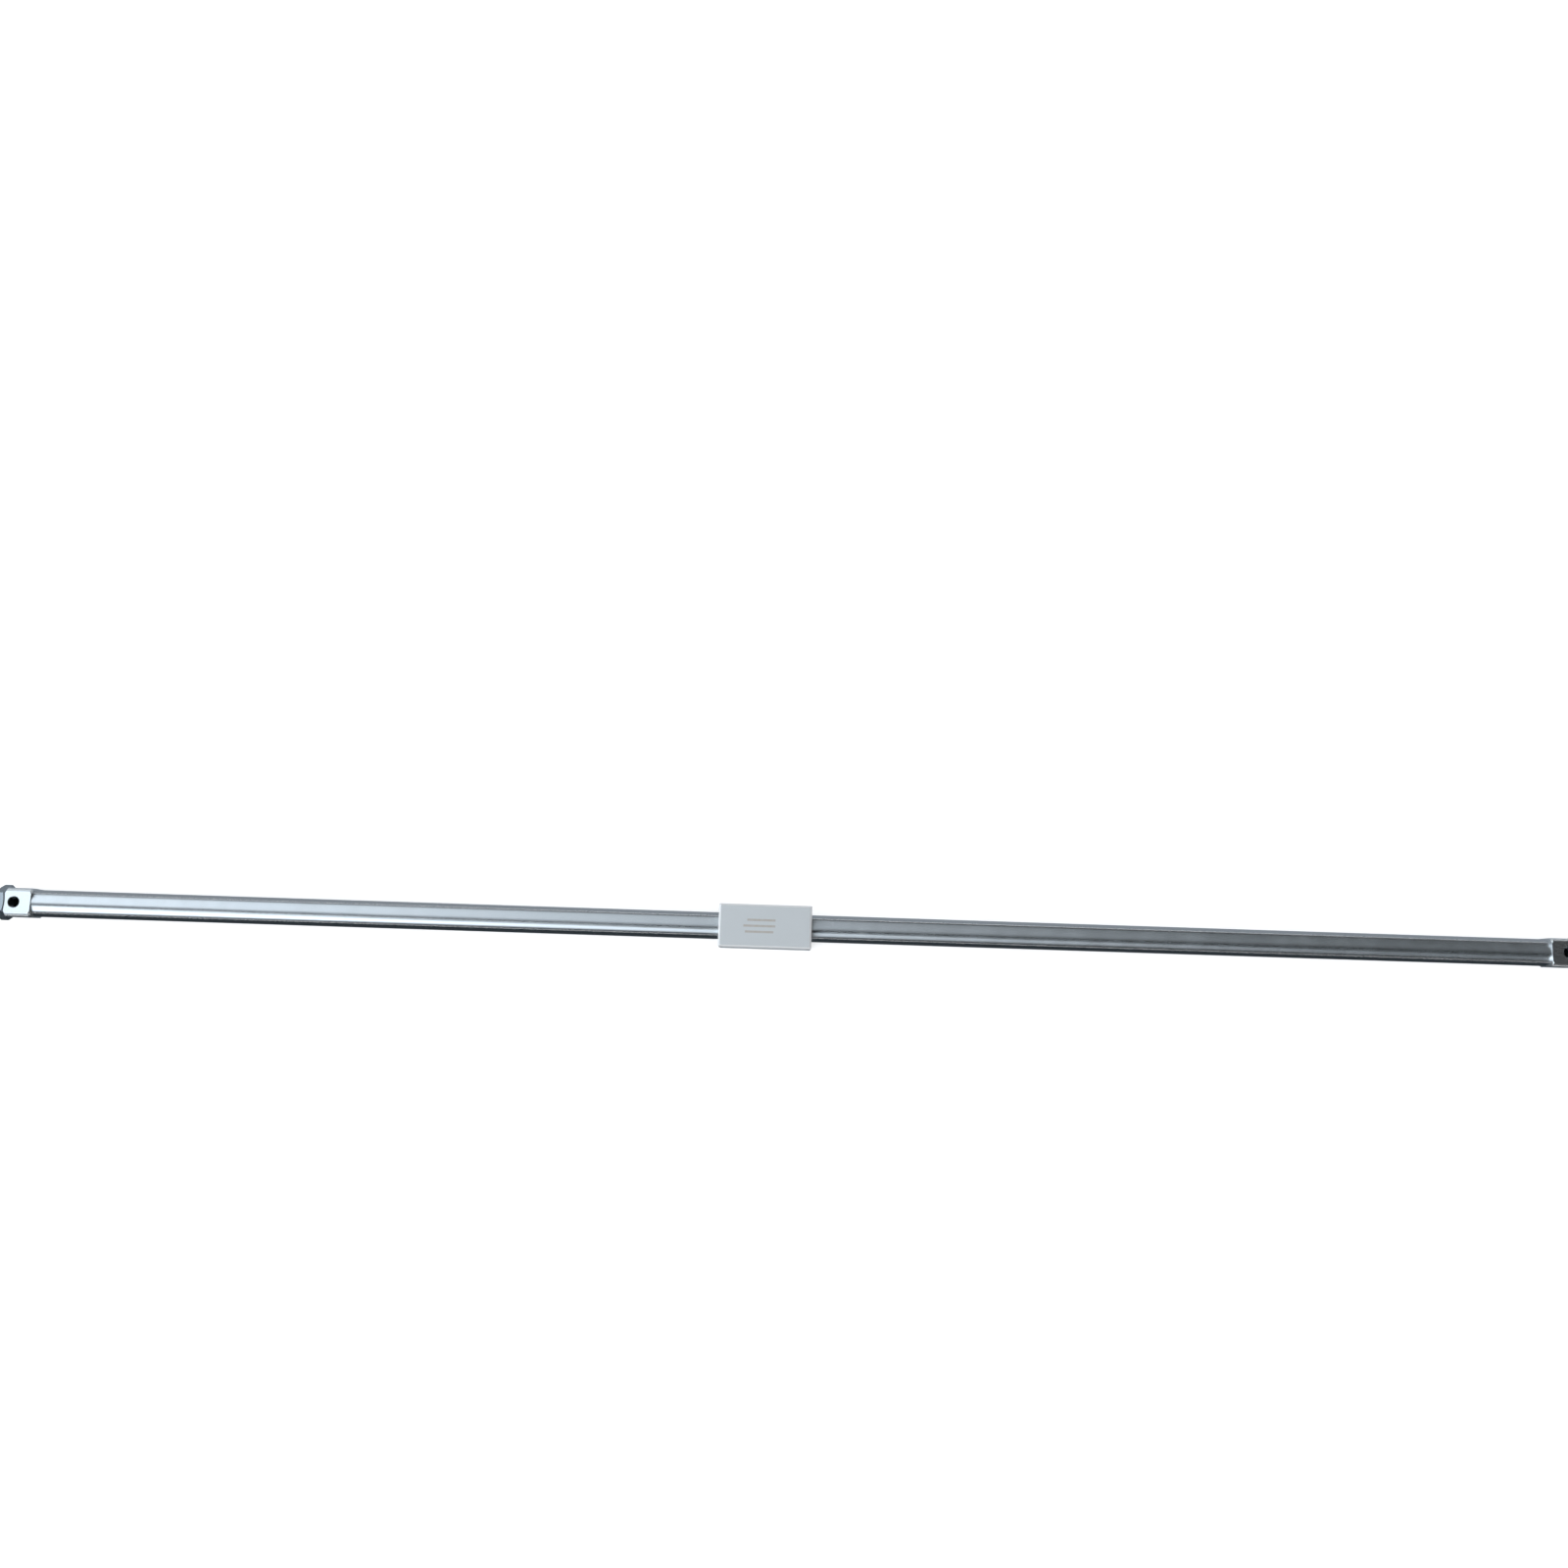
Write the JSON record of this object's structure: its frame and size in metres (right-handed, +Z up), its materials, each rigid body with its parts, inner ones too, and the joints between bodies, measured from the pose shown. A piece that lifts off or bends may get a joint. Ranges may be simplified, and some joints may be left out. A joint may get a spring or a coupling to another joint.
{
  "type": "rodless pneumatic cylinder",
  "caption": "Long bright tube between two square head covers, each with an air port and a threaded nose with its nut, and a plain block slider that magnets pull along the tube.",
  "frame": {"origin": "on the tube axis, halfway along the cylinder, which is the centre of its bounding box", "axes": "+X along the tube, +Z up out of the air ports, +Y across"},
  "size_m": [1.349, 0.036, 0.036],
  "materials": {
    "polished_stainless": "drawn stainless tube, polished bright",
    "nickel_plate": "aluminium, machined and nickel plated, satin",
    "anodised_aluminium": "extruded aluminium, clear anodised, fine satin",
    "zinc_steel": "steel, bright zinc plated",
    "spring_steel": "spring steel, dark phosphate",
    "magnet": "sintered magnet, nickel flash",
    "yoke_steel": "rolled steel, zinc chromated",
    "oiled_resin": "porous resin, oil filled",
    "wear_resin": "filled bearing resin, matt dark green black",
    "black_rubber": "nitrile rubber, matt",
    "plain_aluminium": "aluminium, turned",
    "chromated_aluminium": "aluminium, yellow chromated",
    "urethane": "cast urethane, amber"
  },
  "bodies": {
    "cylinder": {"cylinder_tube": "polished_stainless", "left_head_cover": "nickel_plate", "right_head_cover": "nickel_plate", "left_tube_gasket": "black_rubber", "right_tube_gasket": "black_rubber", "left_tube_snap_ring": "spring_steel", "right_tube_snap_ring": "spring_steel", "left_mounting_nut": "zinc_steel", "right_mounting_nut": "zinc_steel"},
    "glide_rings": {"left_slider_wear_ring": "wear_resin", "right_slider_wear_ring": "wear_resin"},
    "slider": {"slide_block": "anodised_aluminium", "outer_magnets": "magnet", "outer_yokes": "yoke_steel", "left_magnet_spacer": "yoke_steel", "right_magnet_spacer": "yoke_steel", "left_lube_retainer": "oiled_resin", "right_lube_retainer": "oiled_resin", "left_scraper": "black_rubber", "right_scraper": "black_rubber", "left_end_washer": "plain_aluminium", "right_end_washer": "plain_aluminium", "left_slider_snap_ring": "spring_steel", "right_slider_snap_ring": "spring_steel"},
    "piston": {"piston_shaft": "polished_stainless", "inner_magnets": "magnet", "inner_yokes": "yoke_steel", "left_piston": "chromated_aluminium", "right_piston": "chromated_aluminium", "left_piston_seal": "black_rubber", "right_piston_seal": "black_rubber", "left_piston_wear_ring": "wear_resin", "right_piston_wear_ring": "wear_resin", "left_piston_nut": "zinc_steel", "right_piston_nut": "zinc_steel", "left_piston_bumper": "urethane", "right_piston_bumper": "urethane"}
  },
  "joints": [
    {"name": "slider_slide", "type": "slide", "parent": "cylinder", "child": "glide_rings", "axis": [1, 0, 0], "range_m": [-0.578, 0.622]},
    {"name": "slider_turn", "type": "hinge", "parent": "glide_rings", "child": "slider", "pos_m": [-0.022, 0, 0], "axis": [1, 0, 0], "continuous": true},
    {"name": "piston_slide", "type": "slide", "parent": "cylinder", "child": "piston", "axis": [1, 0, 0], "range_m": [-0.578, 0.622]}
  ],
  "couplings": [
    {"joint": "piston_slide", "follows": "slider_slide", "ratio": 1}
  ]
}
